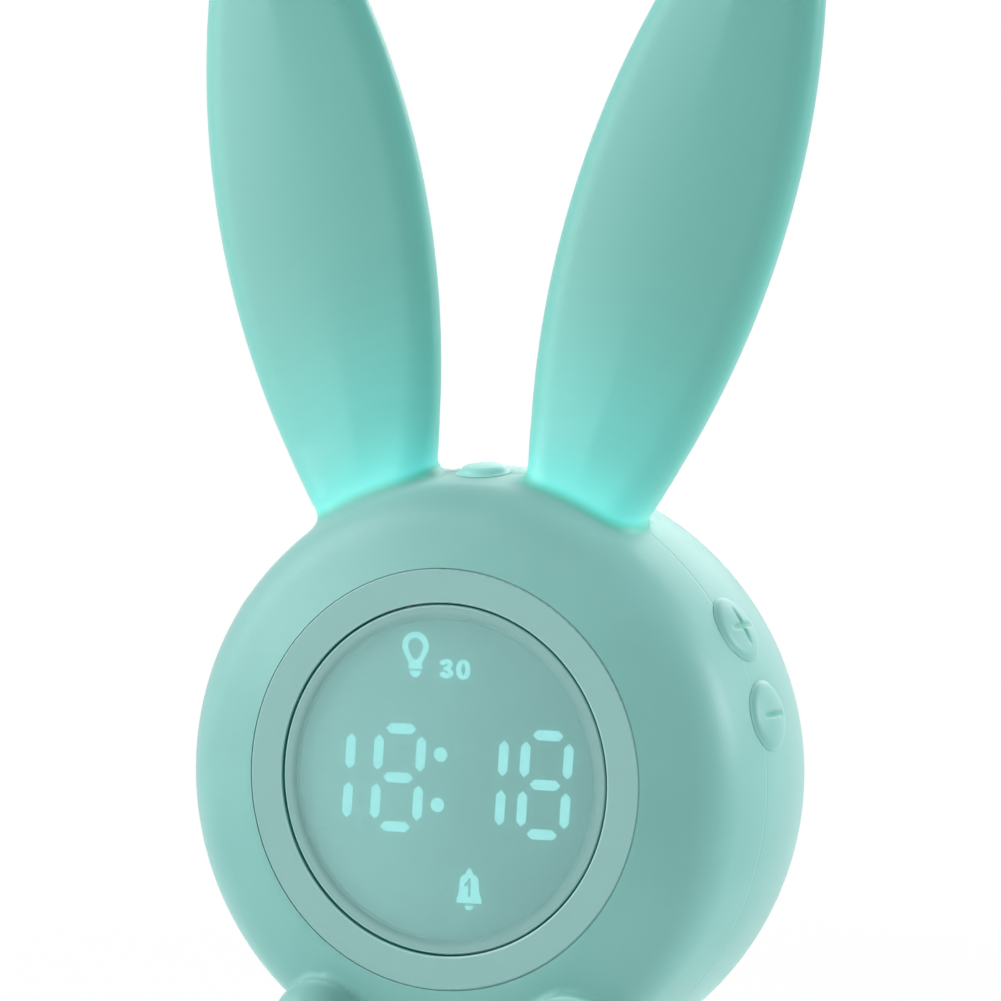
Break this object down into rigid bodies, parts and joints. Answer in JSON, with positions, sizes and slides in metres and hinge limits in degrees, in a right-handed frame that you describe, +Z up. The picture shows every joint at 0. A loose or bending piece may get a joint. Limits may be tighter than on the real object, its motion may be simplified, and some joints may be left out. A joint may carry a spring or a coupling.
{
  "type": "alarm clock",
  "caption": "Round silicone-covered alarm clock and night light with two upright ears, a front digital display, side and top push buttons and short toes.",
  "frame": {"origin": "on the ground under the ball's centre, in the plane of its flat base", "axes": "+Z up, -Y the way the display faces, +X to the right as one looks at the display"},
  "size_m": [0.1012, 0.066, 0.1877],
  "materials": {
    "silicone": "matte translucent silicone",
    "silicone_button": "matte silicone",
    "inner_casing": "moulded white ABS",
    "bezel": "fine matte",
    "lens": "tinted polycarbonate",
    "gasket": "soft foam",
    "reflector": "white moulding",
    "lit_segment": "diffusing resin, lit",
    "blank_segment": "diffusing resin",
    "circuit_board": "solder mask",
    "chip": "moulded epoxy",
    "lamp": "phosphor lamp",
    "switch": "moulded",
    "light_guide": "milky acrylic",
    "nylon": "nylon",
    "cell_wrap": "foil pouch",
    "rear_plastic": "fine matte ABS",
    "steel": "zinc plated",
    "magnet": "plated",
    "paper_cone": "pressed paper",
    "black_plastic": "moulded"
  },
  "bodies": {
    "root": {"silicone_skin": "silicone", "front_shell": "inner_casing", "rear_shell": "inner_casing", "right_ear_light_guide": "light_guide", "left_ear_light_guide": "light_guide", "bezel_ring": "bezel", "display_lens": "lens", "lens_gasket": "gasket", "display_housing": "reflector", "digit_segments": "lit_segment", "blank_segments": "blank_segment", "display_board": "circuit_board", "display_chips": "lamp", "board_spacers": "nylon", "board_connector": "black_plastic", "main_board": "circuit_board", "control_chips": "chip", "night_light_lamps": "lamp", "switch_bodies": "switch", "battery_cell": "cell_wrap", "battery_tray": "inner_casing", "rear_cover": "rear_plastic", "speaker_frame": "black_plastic", "speaker_cone": "paper_cone", "speaker_magnet": "magnet", "charging_board": "circuit_board", "usb_socket": "steel", "reset_switch": "switch", "shell_screws": "steel", "cover_screws": "steel"},
    "top_key": {"top_button": "silicone_button", "top_switch_stem": "switch"},
    "plus_key": {"plus_button": "silicone_button", "plus_switch_stem": "switch"},
    "minus_key": {"minus_button": "silicone_button", "minus_switch_stem": "switch"},
    "clock_key": {"clock_button": "silicone_button", "clock_switch_stem": "switch"},
    "alarm_key": {"alarm_button": "silicone_button", "alarm_switch_stem": "switch"}
  },
  "joints": [
    {"name": "top_press", "type": "slide", "parent": "root", "child": "top_key", "axis": [0, 0, -1], "range_m": [0, 0.0008], "stiffness_N_per_m": 1500},
    {"name": "plus_press", "type": "slide", "parent": "root", "child": "plus_key", "axis": [-0.8616, 0, -0.5075], "range_m": [0, 0.0008], "stiffness_N_per_m": 1500},
    {"name": "minus_press", "type": "slide", "parent": "root", "child": "minus_key", "axis": [-0.9724, 0, -0.2334], "range_m": [0, 0.0008], "stiffness_N_per_m": 1500},
    {"name": "clock_press", "type": "slide", "parent": "root", "child": "clock_key", "axis": [0.8616, 0, -0.5075], "range_m": [0, 0.0008], "stiffness_N_per_m": 1500},
    {"name": "alarm_press", "type": "slide", "parent": "root", "child": "alarm_key", "axis": [0.9724, 0, -0.2334], "range_m": [0, 0.0008], "stiffness_N_per_m": 1500}
  ]
}
